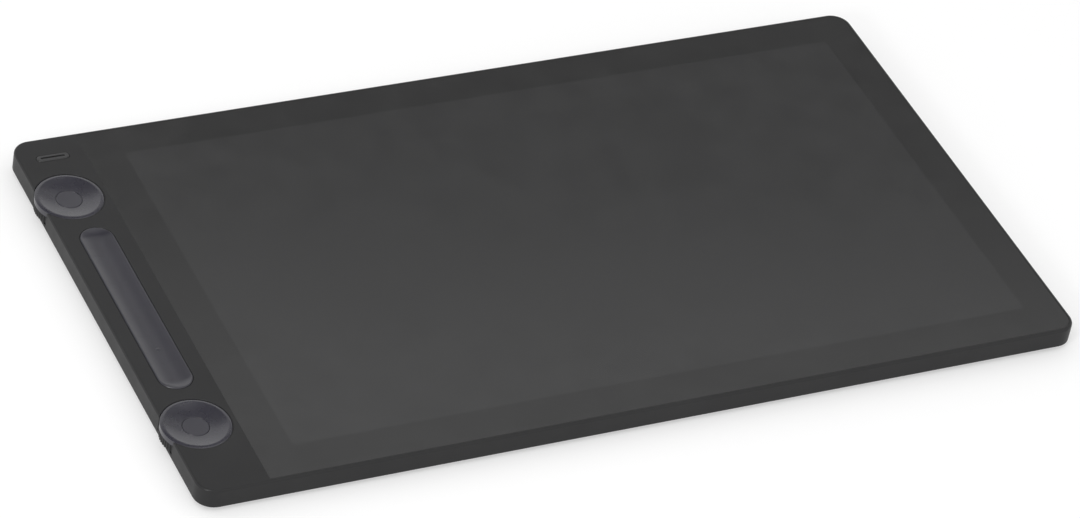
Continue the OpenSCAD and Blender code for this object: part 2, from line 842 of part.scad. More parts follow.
// Sheet metal can over the main chips
module shield_can() {
    can_x = main_left + can_side;
    can_y = main_y - main_d / 2 + can_front;
    can_h = flex_z - inner_gap - board_top;
    color("#b5b7ba") difference() {
        translate([can_x, can_y, board_top]) cube([can_w, can_d, can_h]);
        translate([can_x + can_wall, can_y + can_wall, board_top - past])
            cube([can_w - 2 * can_wall, can_d - 2 * can_wall, can_h - can_wall + past]);
    }
}

// Oblong socket with a tongue inside, open to the right
module usb_c_port(y) {
    back_wall = 1;
    tongue_side = 1.1;
    tongue_in = 1.2;
    tongue_t = 0.7;
    tongue_w = port_w - 2 * tongue_side;
    tongue_l = port_l - back_wall - tongue_in;
    color("#9a9b9d") translate([port_x, y, port_z]) rotate([90, 0, -90]) {
        difference() {
            linear_extrude(port_l) oblong(port_w, port_h);
            translate([0, 0, -past]) linear_extrude(port_l - back_wall + past)
                oblong(port_w - 2 * port_t, port_h - 2 * port_t);
        }
        translate([-tongue_w / 2, -tongue_t / 2, port_l - back_wall - tongue_l])
            cube([tongue_w, tongue_t, tongue_l + back_wall / 2]);
    }
}

// Block connector for a flat cable, centred at a point on a board
module connector_block(at, w, d) {
    translate([at[0] - w / 2, at[1] - d / 2, board_top]) cube([w, d, flex_z - board_top]);
}

// Connectors that take the flat cables
module flex_connectors() {
    color("#d8d4c4") {
        connector_block([key_connector_x, key_flex_y], connector_l, flex_w + 2 * connector_ends);
        connector_block([main_connector_x, key_flex_y], connector_l, flex_w + 2 * connector_ends);
        connector_block([display_flex_x, display_connector_y], display_flex_w + 2 * connector_ends,
            connector_l);
    }
}

// Screws of the main and control boards
module board_screws() {
    color("#77787b") for (at = concat(main_pads, key_pads))
        screw_down(at, board_top, small_d, pad_screw_l - stop_gap, small_head_d, small_head_h);
}

// Flat cable from the panel edge, down through the mid plate and in under it
module display_flex() {
    drop_y = panel_d / 2 + window_gap / 2;
    tab_z = panel_z + panel_t / 2;
    run_y = display_connector_y - connector_l / 2;
    color("#b9772b") translate([display_flex_x - display_flex_w / 2, 0, 0]) rotate([90, 0, 90])
        linear_extrude(display_flex_w) {
            translate([panel_d / 2, tab_z]) square([drop_y + flex_t - panel_d / 2, flex_t]);
            translate([drop_y, flex_z]) square([flex_t, tab_z + flex_t - flex_z]);
            translate([run_y, flex_z]) square([drop_y + flex_t - run_y, flex_t]);
        }
}

// Flat cable from the control board to the main board, along the mid plate
module control_flex() {
    x0 = key_connector_x - connector_l / 2;
    color("#b9772b") translate([x0, key_flex_y - flex_w / 2, flex_z])
        cube([main_connector_x + connector_l / 2 - x0, flex_w, flex_t]);
}

// Stacked connector between the main board and the digitizer
module digitizer_connector() {
    x0 = digitizer_x - digitizer_link_w / 2;
    y0 = display_connector_y - digitizer_link_d / 2;
    color("#e2dfd2") translate([x0, y0, board_top])
        cube([digitizer_link_w, digitizer_link_d, digitizer_z - board_top]);
}

// Long board under the deck
module control_board() {
    color("#1b4a33") difference() {
        translate([key_board_left, key_board_front, board_z])
            cube([key_board_right - key_board_left, key_board_back - key_board_front, board_t]);
        for (at = key_pads) post(at, board_z - past, board_t + 2 * past, small_d + 2 * fit_gap);
        for (side = [-1, 1], turn = [0, 180])
            post([dial_x + peg_ring * cos(turn), side * dial_y], board_z - past, board_t + 2 * past,
                2 * (peg_r + run_gap));
    }
}

// One switch under each key
module key_switches() {
    color("#2b2b2b") for (i = [1 : key_count])
        tact_switch([strip_x, key_y(i)], switch_w, stem_d, switch_top - board_top);
}

// Switch under the power button
module power_switch() {
    color("#2b2b2b") tact_switch([power_switch_x, power_y], power_w, stem_d / 2, switch_top - board_top);
}

// Light source under the power window
module power_led() {
    led_w = 1.6;
    led_h = 0.7;
    color("#f4f1da") translate([power_led_x - led_w / 2, power_y - led_w / 2, board_top])
        cube([led_w, led_w, led_h]);
}

// Keys

// Middle of a key along the row, counted from the back
function key_y(i) = strip_l / 2 - (i - 0.5) * key_pitch;

// Share of the row that one key takes, cut from an oblong of the given growth
module key_share(i, grow) {
    back_extra = i == 1 ? key_flange : 0;
    front_extra = i == key_count ? key_flange : 0;
    share_l = key_pitch - key_gap + back_extra + front_extra;
    intersection() {
        translate([strip_x, 0]) rotate(90) oblong(strip_l + 2 * grow, strip_w + 2 * grow);
        translate([strip_x, key_y(i) + (back_extra - front_extra) / 2])
            square([2 * flange_r + past, share_l], center = true);
    }
}

// Scoop along the whole row: a long cylinder with a ball at each end
module key_scoop() {
    run = strip_l - strip_w;
    translate([strip_x, 0, key_low_z + scoop_r]) {
        rotate([90, 0, 0]) cylinder(h = run, r = scoop_r, center = true, $fn = fine_fn);
        for (side = [-1, 1]) translate([0, side * run / 2, 0]) sphere(scoop_r, $fn = fine_fn);
    }
}

// Negative of the rounding along the outer edge of the row, with profile x from its middle line
module key_lip_profile() {
    edge = key_half - key_lip_r;
    difference() {
        translate([edge, key_edge_z - key_lip_r]) square(key_lip_r + past);
        translate([edge, key_edge_z - key_lip_r]) circle(key_lip_r);
    }
}

// One key: scooped top, flange, two guide pins and a stem over its switch
module key(i) {
    nub_r = (pow(nub_d / 2, 2) + pow(nub_h, 2)) / (2 * nub_h);
    pin_end = guide_z - fit_gap;
    stem_end_z = switch_top + key_travel + stop_gap;
    color("#4c4b50") {
        difference() {
            slab(key_base, key_edge_z - key_base) key_share(i, -key_gap);
            key_scoop();
            translate([strip_x, 0, 0]) rotate(90) around_oblong(strip_l - strip_w) key_lip_profile();
        }
        difference() {
            slab(key_base, flange_t) key_share(i, key_flange - fit_gap);
            key_scoop();
        }
        for (side = [-1, 1])
            post([strip_x, key_y(i) + side * pin_reach], pin_end, key_base - pin_end + eps, pin_d);
        post([strip_x, key_y(i)], stem_end_z, key_base - stem_end_z + stop_gap, stem_d);
        if (i == nub_key) intersection() {
            translate([strip_x, key_y(i), key_low_z + nub_h - nub_r]) sphere(nub_r);
            slab(key_low_z - nub_h, 2 * nub_h) translate([strip_x, key_y(i)]) circle(nub_d);
        }
    }
}

// Plate that guides the key pins, screwed under the deck
module key_guide() {
    window = switch_w + 2 * inner_gap;
    color("#5a5b5e") difference() {
        slab(guide_z, guide_t) difference() {
            translate([(guide_left + guide_right) / 2, 0])
                round_rect(guide_right - guide_left, guide_d, small_boss_d / 2);
            for (i = [1 : key_count]) {
                translate([strip_x, key_y(i)]) square([window, window], center = true);
                for (side = [-1, 1]) translate([strip_x, key_y(i) + side * pin_reach])
                    circle(d = pin_d + 2 * stop_gap);
            }
        }
        for (at = guide_bosses) post(at, guide_z - past, guide_t + 2 * past, small_d + 2 * fit_gap);
    }
}

// Screws that hold the key guide
module guide_screws() {
    color("#77787b") for (at = guide_bosses)
        screw_up(at, guide_z, small_d, deck_z - guide_z - stop_gap, small_head_d, small_head_h);
}

// Power button

// Negative of the rounding along the top edge of the power button, with profile x from its middle
module power_edge_profile() {
    edge = power_w / 2 - key_gap - power_round;
    difference() {
        translate([edge, power_top - power_round]) square(power_round + past);
        translate([edge, power_top - power_round]) circle(power_round);
    }
}

// Oblong button with a slot for its light window
module power_button() {
    color("#48474b") difference() {
        translate([power_x, power_y, 0]) {
            slab(key_base, power_top - key_base) oblong(power_l - 2 * key_gap, power_w - 2 * key_gap);
            slab(key_base, flange_t) oblong(power_l + 2 * key_flange, power_w + 2 * key_flange);
            post([-power_l / 4, 0], switch_top + power_travel + stop_gap,
                key_base - switch_top - power_travel, stem_d / 2);
        }
        translate([power_x, power_y, 0]) around_oblong(power_l - power_w) power_edge_profile();
        slab(key_base - past, power_top - key_base + 2 * past) translate([power_x, power_y])
            oblong(slit_l + run_gap, slit_w + run_gap);
    }
}

// Dark light window in the power button, held by a foot under it
module power_light() {
    foot = 0.5;
    below = 0.3;
    color("#151517") translate([power_x, power_y, 0]) {
        slab(key_base - eps, power_top - below - key_base) oblong(slit_l - run_gap, slit_w - run_gap);
        translate([power_l / 8, 0, 0]) slab(key_base - foot, foot) oblong(slit_l / 2, slit_w + foot);
    }
}

// Dials

// Half section of a dial cap: rim, dish, skirt and hub
module dial_cap_profile() {
    difference() {
        union() {
            translate([0, band_z]) square([dial_r, dial_band_h - rim_drop]);
            translate([0, band_z]) square([dish_rim, dial_band_h]);
            intersection() {
                translate([0, band_z]) square([dial_r, dial_band_h]);
                translate([dish_rim, dial_top - dial_rim_r]) circle(dial_rim_r, $fn = fine_fn);
            }
            translate([0, cap_under]) square([skirt_r, band_z - cap_under + eps]);
            translate([skirt_in, dial_base]) square([skirt_t, cap_under - dial_base + eps]);
            translate([0, hub_base]) square([hub_r, cap_under - hub_base + eps]);
        }
        intersection() {
            translate([0, dish_centre]) circle(dish_r, $fn = fine_fn);
            translate([0, dish_centre - dish_r]) square([2 * dish_r, dish_r]);
        }
        translate([-past, hub_base - past])
            square([past + spindle_d / 2 + run_gap, hub_top - hub_base + past + eps]);
        translate([-past, hub_top]) square([past + hole_r, dial_top - hub_top + past]);
    }
}

// Dished cap that turns on the spindle, with click notches inside its skirt
module dial_cap(y) {
    color("#4e4d53") translate([dial_x, y, 0]) difference() {
        rotate_extrude() dial_cap_profile();
        for (i = [1 : dial_clicks]) rotate(i * 360 / dial_clicks)
            post([skirt_in + click_r / 4, 0], dial_base - past, click_h + past, 2 * click_r);
    }
}

// Ribbed outline of the grip ring
function grip_outline() = [for (i = [0 : grip_ribs - 1], step = [0 : 3])
    let (turn = (i + step / 4) * 360 / grip_ribs, r = dial_r - (step < 2 ? 0 : grip_depth))
    [r * cos(turn), r * sin(turn)]];

// Dark ribbed ring under the smooth band
module dial_grip(y) {
    color("#1c1c1e") translate([dial_x, y, 0]) difference() {
        slab(dial_base, band_z - dial_base) polygon(grip_outline());
        post([0, 0], dial_base - past, band_z - dial_base + 2 * past, 2 * (skirt_r + run_gap));
    }
}

// Ring magnet under the cap, read by the sensors on the board
module dial_magnet(y) {
    color("#3a3a3a") translate([dial_x, y, 0]) slab(cap_under - magnet_h, magnet_h) difference() {
        circle(d = magnet_d);
        circle(d = magnet_bore);
    }
}

// Half section of the round button: disc with a rounded edge and a stem
module dial_button_profile() {
    r = button_d / 2;
    translate([0, button_under]) square([r - button_round, button_top - button_under]);
    translate([0, button_under]) square([r, button_top - button_round - button_under]);
    translate([r - button_round, button_top - button_round]) circle(button_round);
    translate([0, stem_end]) square([spindle_bore / 2 - stop_gap, button_under - stem_end + eps]);
}

// Round button in the middle of a dial
module dial_button(y) {
    color("#48474c") translate([dial_x, y, 0]) rotate_extrude() dial_button_profile();
}

// Fixed hollow spindle with a clip groove and two pegs in the board
module spindle(y) {
    color("#6b6c70") translate([dial_x, y, 0]) difference() {
        union() {
            post([0, 0], board_top, base_t, 2 * spindle_base_r);
            post([0, 0], board_top, spindle_top - board_top, spindle_d);
            for (turn = [0, 180]) rotate(turn) post([peg_ring, 0], board_z, board_t + eps, 2 * peg_r);
        }
        post([0, 0], board_top - past, spindle_top - board_top + 2 * past, spindle_bore);
        difference() {
            post([0, 0], clip_z, clip_t + run_gap, spindle_d + past);
            post([0, 0], clip_z - past, clip_t + 3 * past, spindle_d - clip_groove);
        }
    }
}

// Open ring that keeps the dial on its spindle
module spindle_clip(y) {
    mouth = spindle_d * clip_open;
    color("#8f9093") translate([dial_x, y, 0]) slab(clip_z, clip_t) difference() {
        circle(r = hole_r - key_gap);
        circle(d = spindle_d - clip_groove + run_gap);
        translate([-mouth / 2, 0]) square([mouth, spindle_d]);
    }
}

// Leaf spring with a round nose beside the click notches
module detent_spring(y) {
    leaf_z = board_top + turn_gap;
    heel_l = 2;
    color("#b9b08a") translate([dial_x, y, 0]) {
        translate([0, 0, leaf_z]) rotate_extrude(angle = leaf_sweep)
            translate([leaf_r, 0]) square([leaf_t, leaf_h]);
        rotate(leaf_sweep / 2) post([leaf_r + leaf_t / 2, 0], leaf_z, leaf_h, 2 * nose_r);
        translate([leaf_r - leaf_t, 0, board_top]) cube([2 * leaf_t, heel_l, leaf_z - board_top + leaf_h]);
    }
}

// Two magnet sensors on the board under each dial
module hall_sensors() {
    chip_w = 3;
    chip_h = 0.9;
    spread = 30;
    color("#202020") for (side = [-1, 1], turn = [180 - spread, 180 + spread])
        translate([dial_x, side * dial_y, board_top]) rotate(turn)
            translate([(magnet_d + magnet_bore) / 4 - chip_w / 2, -chip_w / 2, 0])
                cube([chip_w, chip_w, chip_h]);
}

// Switch inside each spindle
module dial_switches() {
    press_w = 4.4;
    color("#2b2b2b") for (side = [-1, 1])
        tact_switch([dial_x, side * dial_y], press_w, press_w / 2, press_h);
}

upper_housing();
rear_cover();
rubber_feet();
cover_screws();
front_glass();
glass_tape();
display_panel();
backlight_tray();
light_guide();
light_bar();
digitizer_board();
shield_plate();
mid_plate();
plate_screws();
main_board();
shield_can();
usb_c_port(port_y[0]);  // usb_c_port_back
usb_c_port(port_y[1]);  // usb_c_port_front
flex_connectors();
board_screws();
display_flex();
control_flex();
digitizer_connector();
control_board();
key_switches();
key_guide();
guide_screws();
power_switch();
power_led();
hall_sensors();
dial_switches();
power_button();
power_light();
for (end = [["back", dial_y], ["front", -dial_y]]) {
    dial_cap(end[1]);
    dial_grip(end[1]);
    dial_magnet(end[1]);
    dial_button(end[1]);
    spindle(end[1]);
    spindle_clip(end[1]);
    detent_spring(end[1]);
}
for (i = [1 : key_count]) {
    key(i);
}
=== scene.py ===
# %% [markdown]
# # A drawing tablet with a screen, seen from the front left
#
# The imported model is the skeleton: every piece is already in its place, in metres.
# This script gives each piece the finish of the real one, rebuilds the pieces whose edges the eye
# goes to first, and lights the whole as a product photographer would.

# %% Load the frame
import math
import bmesh
import bpy
from mathutils import Matrix, Vector, geometry


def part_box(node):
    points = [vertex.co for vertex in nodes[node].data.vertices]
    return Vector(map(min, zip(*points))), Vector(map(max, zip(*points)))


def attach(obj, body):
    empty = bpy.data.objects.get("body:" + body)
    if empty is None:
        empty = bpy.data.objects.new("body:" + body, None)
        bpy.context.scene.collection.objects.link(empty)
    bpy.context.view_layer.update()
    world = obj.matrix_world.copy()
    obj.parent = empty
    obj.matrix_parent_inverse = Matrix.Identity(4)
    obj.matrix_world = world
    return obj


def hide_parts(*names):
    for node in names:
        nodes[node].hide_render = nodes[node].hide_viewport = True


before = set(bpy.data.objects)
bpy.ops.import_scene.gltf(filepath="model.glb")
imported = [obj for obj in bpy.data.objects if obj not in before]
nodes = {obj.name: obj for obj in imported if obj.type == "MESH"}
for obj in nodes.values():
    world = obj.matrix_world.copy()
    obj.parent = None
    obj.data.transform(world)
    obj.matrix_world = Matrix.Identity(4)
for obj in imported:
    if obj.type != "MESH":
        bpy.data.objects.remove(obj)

MM = 0.001
scene = bpy.context.scene
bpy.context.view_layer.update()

# %% [markdown]
# ## The camera
#
# The photo was taken with a long lens, from the front left and well above the desk, and the camera was
# rolled so that the tablet lies diagonally in the picture. A long lens keeps the far edge almost as long
# as the near one. The numbers come from fitting the four corners of the picture area.

# %% Place the camera
camera_azimuth = math.radians(-31.282)
camera_elevation = math.radians(38.961)
camera_roll = math.radians(10.985)
camera_distance = 2.21684
camera_aim = Vector((-0.57, -1.61, 0.13)) * MM

back = Vector((math.sin(camera_azimuth) * math.cos(camera_elevation),
               -math.cos(camera_azimuth) * math.cos(camera_elevation),
               math.sin(camera_elevation)))
level = Vector((math.cos(camera_azimuth), math.sin(camera_azimuth), 0))
upright = back.cross(level)
right = math.cos(camera_roll) * level + math.sin(camera_roll) * upright
up = math.cos(camera_roll) * upright - math.sin(camera_roll) * level

camera_data = bpy.data.cameras.new("photo_camera")
camera_data.sensor_width = 36
camera_data.sensor_fit = "HORIZONTAL"
camera_data.lens = 168.13
camera_data.clip_end = 50
camera = bpy.data.objects.new("photo_camera", camera_data)
scene.collection.objects.link(camera)
turned = Matrix((right, up, back)).transposed().to_4x4()
camera.matrix_world = Matrix.Translation(camera_aim + back * camera_distance) @ turned
scene.camera = camera
print("camera stands at", [round(v, 3) for v in camera.location], "m")

# %% [markdown]
# ## Floor and light
#
# A product like this is shot on a white sweep in a bright, even room.
# Dark satin plastic shows hardly any colour of its own: what we see on it is the room, mirrored weakly
# where we look straight at it and strongly where we look along it.
# So the room is an even white. A small softbox stands on the camera's side and picks out the rounded edges.
# A second one stands low on the left, just where the near corner's edge mirrors it, for a glint there.
# A grey card stands behind the tablet: its reflection is what darkens the far end of the glass.
# A grey ceiling with a wing to the right does the same for the slopes that face us, so that every dish
# reads as hollow. The white strip between card and ceiling is what the flat tops mirror.
# The floor is white for the camera and still takes the soft shadow.

# %% Set the white room
scene.view_settings.view_transform = "Standard"

world = bpy.data.worlds.new("white_room")
world.use_nodes = True
room = world.node_tree
room.nodes.clear()
room_seen = room.nodes.new("ShaderNodeBackground")
room_seen.inputs["Color"].default_value = (1, 1, 1, 1)
room_seen.inputs["Strength"].default_value = 1.0
room_light = room.nodes.new("ShaderNodeBackground")
room_light.inputs["Color"].default_value = (1, 1, 1, 1)
room_light.inputs["Strength"].default_value = 0.85
pick = room.nodes.new("ShaderNodeMixShader")
room_out = room.nodes.new("ShaderNodeOutputWorld")


def seen_directly(tree):
    ray = tree.nodes.new("ShaderNodeLightPath")
    found = ray.outputs["Is Camera Ray"]
    for kind in ("Is Glossy Ray", "Is Transmission Ray"):
        either = tree.nodes.new("ShaderNodeMath")
        either.operation = "MAXIMUM"
        tree.links.new(found, either.inputs[0])
        tree.links.new(ray.outputs[kind], either.inputs[1])
        found = either.outputs[0]
    return found


room.links.new(seen_directly(room), pick.inputs["Fac"])
room.links.new(room_light.outputs[0], pick.inputs[1])
room.links.new(room_seen.outputs[0], pick.inputs[2])
room.links.new(pick.outputs[0], room_out.inputs["Surface"])
scene.world = world
print("room light", room_light.inputs["Strength"].default_value)

# %% Stand two softboxes on the camera's side
def stand_softbox(name, wide, high, watts, place):
    lamp = bpy.data.lights.new(name, "AREA")
    lamp.shape = "RECTANGLE"
    lamp.size = wide
    lamp.size_y = high
    lamp.energy = watts
    box = bpy.data.objects.new(name, lamp)
    box.location = place
    box.rotation_euler = (-place).to_track_quat("-Z", "Y").to_euler()
    box.visible_camera = False
    scene.collection.objects.link(box)
    print(name, "at", [round(v, 2) for v in place], "m,", watts, "W")


straight_up = Vector((0, 0, 1))
towards_camera = Vector((back.x, back.y, 0)).normalized()
softbox_place = towards_camera * 1.45 - level * 0.5 + straight_up * 1.95
stand_softbox("softbox", wide=0.5, high=0.4, watts=6, place=softbox_place)

corner_tilt = math.radians(57)
corner_distance = 2.2
corner_out = Vector((-1, -1, 0)).normalized()
corner_faces = corner_out * math.sin(corner_tilt) + straight_up * math.cos(corner_tilt)
corner_mirrors = 2 * corner_faces.dot(back) * corner_faces - back
stand_softbox("corner_box", wide=0.35, high=0.35, watts=9, place=corner_mirrors * corner_distance)

# %% Set up the grey card and the ceiling
def stage_sheet(name, corners, grey):
    mesh = bpy.data.meshes.new(name)
    mesh.from_pydata([tuple(c) for c in corners], [], [(0, 1, 2, 3)])
    sheet = bpy.data.objects.new(name, mesh)
    scene.collection.objects.link(sheet)
    paint = bpy.data.materials.new(name)
    paint.use_nodes = True
    shader = paint.node_tree.nodes["Principled BSDF"]
    shader.inputs["Base Color"].default_value = (grey, grey, grey, 1)
    shader.inputs["Roughness"].default_value = 0.9
    shader.inputs["Specular IOR Level"].default_value = 0.1
    mesh.materials.append(paint)
    return sheet


def flat_corners(x0, x1, y0, y1, z):
    return [(x0, y0, z), (x1, y0, z), (x1, y1, z), (x0, y1, z)]


def only_mirrored(sheet):
    sheet.visible_camera = False
    sheet.visible_diffuse = False
    sheet.visible_shadow = False


card_turn = math.radians(16)
card_distance = 2.5
card_foot = Vector((math.sin(card_turn), math.cos(card_turn), 0)) * card_distance
card_along = Vector((math.cos(card_turn), -math.sin(card_turn), 0))
card_low, card_high = 1.5, 2.14
card_left, card_right = 0.05, 4
card_corners = [card_foot + card_along * x + straight_up * z
                for x, z in ((card_left, card_low), (card_right, card_low),
                             (card_right, card_high), (card_left, card_high))]
only_mirrored(stage_sheet("grey_card", card_corners, 0.48))

ceiling_z = 2.6
ceiling_grey = 0.5
ceiling_sides = {"grey_ceiling": (-1.8, 0.4, 0.3, 2.7), "grey_wing": (0.4, 3.3, 0.6, 1.9)}
for name, sides in ceiling_sides.items():
    only_mirrored(stage_sheet(name, flat_corners(*sides, ceiling_z), ceiling_grey))
print("card from", card_low, "to", card_high, "m up, ceiling at", ceiling_z, "m")

# %% Lay the floor
floor_half = 4.0
floor_grey = 0.62
floor_lift = 0.40
floor_corners = flat_corners(-floor_half, floor_half, -floor_half, floor_half, 0)
floor = stage_sheet("studio_floor", floor_corners, floor_grey)
sweep = floor.data.materials[0].node_tree
sweep_shader = sweep.nodes["Principled BSDF"]
sweep_shader.inputs["Emission Color"].default_value = (1, 1, 1, 1)
lifted = sweep.nodes.new("ShaderNodeMath")
lifted.operation = "MULTIPLY"
lifted.inputs[1].default_value = floor_lift
sweep.links.new(seen_directly(sweep), lifted.inputs[0])
sweep.links.new(lifted.outputs[0], sweep_shader.inputs["Emission Strength"])
print("floor is", 2 * floor_half, "m wide")

# %% [markdown]
# ## A finish is more than a colour
#
# A moulded plastic takes its matte look from the steel of the mould, which is eroded by sparks to a fine
# grain. The helper below gives a finish three kinds of unevenness: the tone drifts a little over a few
# centimetres, the gloss drifts with handling, and a fine grain bends the surface.
# Each finish further down chooses how much it has of each. A noise hardly ever leaves its middle range, so
# tones and gloss are spread over that range only.

# %% A helper for grained finishes
noise_low, noise_high = 0.3, 0.7


def new_finish(name):
    paint = bpy.data.materials.new(name)
    paint.use_nodes = True
    tree = paint.node_tree
    place = tree.nodes.new("ShaderNodeTexCoord")
    return paint, tree, tree.nodes["Principled BSDF"], place.outputs["Object"]


def noise(tree, place, size_mm, detail=2.0):
    spots = tree.nodes.new("ShaderNodeTexNoise")
    spots.inputs["Scale"].default_value = 1 / (size_mm * MM)
    spots.inputs["Detail"].default_value = detail
    tree.links.new(place, spots.inputs["Vector"])
    return spots.outputs["Fac"]


def tone_ramp(tree, factor, dark, light, lo=noise_low, hi=noise_high):
    ramp = tree.nodes.new("ShaderNodeValToRGB")
    ramp.color_ramp.elements[0].position = lo
    ramp.color_ramp.elements[0].color = (*dark, 1)
    ramp.color_ramp.elements[1].position = hi
    ramp.color_ramp.elements[1].color = (*light, 1)
    tree.links.new(factor, ramp.inputs["Fac"])
    return ramp.outputs["Color"]


def spread(tree, factor, lo, hi):
    reach = tree.nodes.new("ShaderNodeMapRange")
    reach.inputs["From Min"].default_value = noise_low
    reach.inputs["From Max"].default_value = noise_high
    reach.inputs["To Min"].default_value = lo
    reach.inputs["To Max"].default_value = hi
    tree.links.new(factor, reach.inputs["Value"])
    return reach.outputs["Result"]


def bend(tree, height, depth_mm, shader, strength=1.0):
    bump = tree.nodes.new("ShaderNodeBump")
    bump.inputs["Strength"].default_value = strength
    bump.inputs["Distance"].default_value = depth_mm * MM
    tree.links.new(height, bump.inputs["Height"])
    tree.links.new(bump.outputs["Normal"], shader.inputs["Normal"])


def grained(name, dark, light, gloss, grain_mm, depth_mm, drift_mm=30, specular=0.5, metallic=0.0):
    paint, tree, shader, place = new_finish(name)
    drift = noise(tree, place, drift_mm)
    tree.links.new(tone_ramp(tree, drift, dark, light), shader.inputs["Base Color"])
    tree.links.new(spread(tree, noise(tree, place, drift_mm / 3), *gloss), shader.inputs["Roughness"])
    shader.inputs["Specular IOR Level"].default_value = specular
    shader.inputs["Metallic"].default_value = metallic
    bend(tree, noise(tree, place, grain_mm, 3.0), depth_mm, shader)
    return paint


def dress(paint, *names):
    for name in names:
        slots = nodes[name].data.materials
        slots.clear()
        slots.append(paint)
    print(paint.name, "on", len(names), "pieces:", ", ".join(names))


# %% [markdown]
# ## Housing and rear cover
#
# The side wall, the deck with the controls and the ledge for the glass are one moulding in dark grey
# plastic. Its grain is only a few hundredths of a millimetre deep, which softens the mirrored room to a
# haze. Hands and sleeves polish the rounded edge, so it is glossier there and glints at the corners. The edge
# is found by how far its faces look up: further than the walls do, and less than the deck.
# The rear cover is the same plastic from a coarser mould, because it faces the desk.

# %% Dark moulded plastic
wall_upward, edge_low, edge_high, deck_upward = 0.15, 0.3, 0.95, 0.99


def polish_edges(paint, edge_gloss):
    tree = paint.node_tree
    shader = tree.nodes["Principled BSDF"]
    matte = shader.inputs["Roughness"].links[0].from_socket
    facing = tree.nodes.new("ShaderNodeNewGeometry")
    upward = tree.nodes.new("ShaderNodeSeparateXYZ")
    tree.links.new(facing.outputs["True Normal"], upward.inputs[0])
    slope = tree.nodes.new("ShaderNodeValToRGB")
    stops = slope.color_ramp.elements
    for stop, share in zip(stops, (wall_upward, deck_upward)):
        stop.position = share
        stop.color = (0, 0, 0, 1)
    for share in (edge_low, edge_high):
        stops.new(share).color = (1, 1, 1, 1)
    tree.links.new(upward.outputs["Z"], slope.inputs["Fac"])
    worn = tree.nodes.new("ShaderNodeMapRange")
    tree.links.new(slope.outputs["Color"], worn.inputs["Value"])
    tree.links.new(matte, worn.inputs["To Min"])
    worn.inputs["To Max"].default_value = edge_gloss
    tree.links.new(worn.outputs["Result"], shader.inputs["Roughness"])


housing_plastic = grained("housing_plastic", (0.0262, 0.0262, 0.0267), (0.0300, 0.0300, 0.0305),
                          gloss=(0.44, 0.50), grain_mm=0.28, depth_mm=0.006, specular=0.17)
polish_edges(housing_plastic, 0.24)
dress(housing_plastic, "upper_housing")

cover_plastic = grained("cover_plastic", (0.0120, 0.0120, 0.0125), (0.0150, 0.0150, 0.0155),
                        gloss=(0.50, 0.58), grain_mm=0.5, depth_mm=0.02, specular=0.30)
dress(cover_plastic, "rear_cover")

# %% [markdown]
# ## Cover glass
#
# One sheet covers the whole front. Its upper face is etched so that a pen drags on it as on paper, and the
# etch also breaks up reflections. Around the picture the glass is printed black from behind; the picture
# area looks a shade lighter, because the dark panel bonded under it scatters a little light.
# The sheet is rebuilt here so that border and picture can have a finish each. Its top edge is ground to a
# thin bevel.

# %% Etched glass, printed and clear
tone_drift_mm, gloss_drift_mm = 60, 18
etch_gloss = (0.15, 0.19)
etch_grain_mm, etch_depth_mm = 0.12, 0.0004


def etched_glass(name, dark, light):
    paint, tree, shader, place = new_finish(name)
    drift = noise(tree, place, tone_drift_mm)
    tree.links.new(tone_ramp(tree, drift, dark, light), shader.inputs["Base Color"])
    tree.links.new(spread(tree, noise(tree, place, gloss_drift_mm), *etch_gloss), shader.inputs["Roughness"])
    shader.inputs["Specular IOR Level"].default_value = 0.66
    bend(tree, noise(tree, place, etch_grain_mm, 3.0), etch_depth_mm, shader)
    return paint


border_print = etched_glass("border_print", (0.0036, 0.0036, 0.0038), (0.0044, 0.0044, 0.0046))
picture_glass = etched_glass("picture_glass", (0.0115, 0.0116, 0.0120), (0.0130, 0.0131, 0.0136))
print("etched finishes:", border_print.name, "and", picture_glass.name)

# %% Outline of the glass
glass_lo, glass_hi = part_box("front_glass")
near_corner = 1.0 * MM
far_corner = 6.9 * MM
bevel = 0.1 * MM
picture_lo = Vector((-159.3, -98.3)) * MM
picture_hi = Vector((190.3, 98.3)) * MM


def glass_outline(inset, steps=12):
    x0, y0 = glass_lo.x + inset, glass_lo.y + inset
    x1, y1 = glass_hi.x - inset, glass_hi.y - inset
    corners = [(x1, y0, far_corner - inset, 270), (x1, y1, far_corner - inset, 0),
               (x0, y1, near_corner - inset, 90), (x0, y0, near_corner - inset, 180)]
    points = []
    for x, y, radius, first in corners:
        cx = x - radius if x == x1 else x + radius
        cy = y - radius if y == y1 else y + radius
        for i in range(steps + 1):
            turn = math.radians(first + 90 * i / steps)
            points.append((cx + radius * math.cos(turn), cy + radius * math.sin(turn)))
    return points


print("glass is", [round(v / MM, 2) for v in (glass_hi - glass_lo)], "mm")

# %% Build the glass
sharp_angle = math.radians(38)


def band(bm, low, high):
    for i in range(len(low)):
        j = (i + 1) % len(low)
        bm.faces.new((low[i], low[j], high[j], high[i]))


def new_piece(name, bm, paints, body, smooth=True):
    mesh = bpy.data.meshes.new(name)
    bmesh.ops.recalc_face_normals(bm, faces=bm.faces)
    bm.to_mesh(mesh)
    bm.free()
    for paint in paints:
        mesh.materials.append(paint)
    for face in mesh.polygons:
        face.use_smooth = smooth
    if smooth:
        mesh.set_sharp_from_angle(angle=sharp_angle)
    piece = bpy.data.objects.new(name, mesh)
    scene.collection.objects.link(piece)
    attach(piece, body)
    return piece


